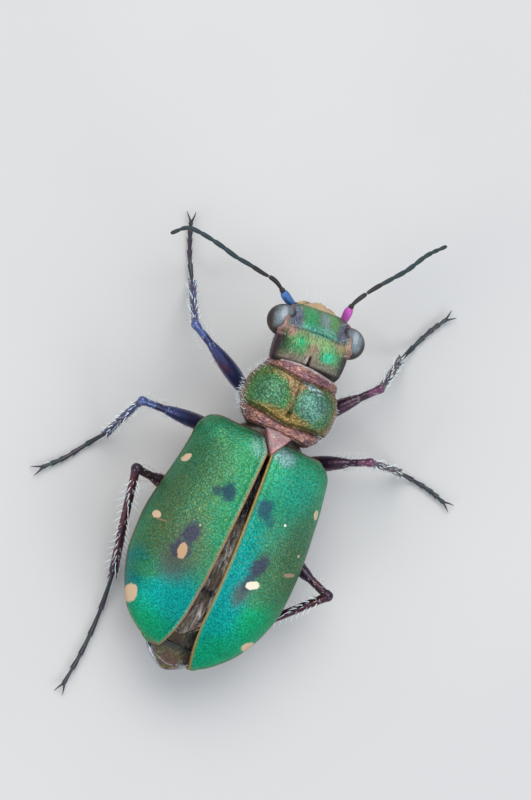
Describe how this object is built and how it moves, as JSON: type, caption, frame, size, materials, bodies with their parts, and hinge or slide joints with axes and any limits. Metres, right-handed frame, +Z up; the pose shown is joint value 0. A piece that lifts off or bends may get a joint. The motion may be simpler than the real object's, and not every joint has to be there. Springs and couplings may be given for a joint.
{
  "type": "tiger beetle",
  "caption": "Life-size green tiger beetle standing on its legs, wing cases a little parted, with domed eyes, long segmented feelers and slender legs.",
  "frame": {"origin": "Middle of the outline's box at floor level, under the body a little behind the scutellum.", "axes": "+Z up from the floor, +Y forward along the body to the head, +X to the beetle's own right."},
  "size_m": [0.0146, 0.0196, 0.0045],
  "materials": {
    "elytra": "finely grained satin, metallic emerald green with cream spots",
    "cuticle": "finely grained satin, metallic green with copper rims",
    "copper": "metallic copper red",
    "leg": "glossy, metallic dark purple with pale bristles",
    "eye": "smooth and glossy, finely faceted",
    "lip": "satin cream",
    "membrane": "veined brown membrane",
    "abdomen": "satin dark brown with a metallic tint",
    "antenna": "satin, dark grey with a metallic base"
  },
  "bodies": {
    "root": {"elytron_left": "elytra", "elytron_right": "elytra", "scutellum": "copper", "hind_wings_folded": "membrane", "prothorax": "cuticle", "thorax": "copper", "abdomen": "abdomen", "head": "cuticle", "eye_left": "eye", "mandible_left": "lip", "palp_maxillary_left": "antenna", "palp_labial_left": "antenna", "eye_right": "eye", "mandible_right": "lip", "palp_maxillary_right": "antenna", "palp_labial_right": "antenna", "labrum": "lip", "antenna_left": "antenna", "antenna_right": "antenna", "coxa_front_left": "copper", "femur_front_left": "leg", "tibia_front_left": "leg", "tarsus_front_left": "leg", "coxa_front_right": "copper", "femur_front_right": "leg", "tibia_front_right": "leg", "tarsus_front_right": "leg", "coxa_middle_left": "copper", "femur_middle_left": "leg", "tibia_middle_left": "leg", "tarsus_middle_left": "leg", "coxa_middle_right": "copper", "femur_middle_right": "leg", "tibia_middle_right": "leg", "tarsus_middle_right": "leg", "coxa_hind_left": "copper", "femur_hind_left": "leg", "tibia_hind_left": "leg", "tarsus_hind_left": "leg", "coxa_hind_right": "copper", "femur_hind_right": "leg", "tibia_hind_right": "leg", "tarsus_hind_right": "leg"}
  },
  "joints": []
}
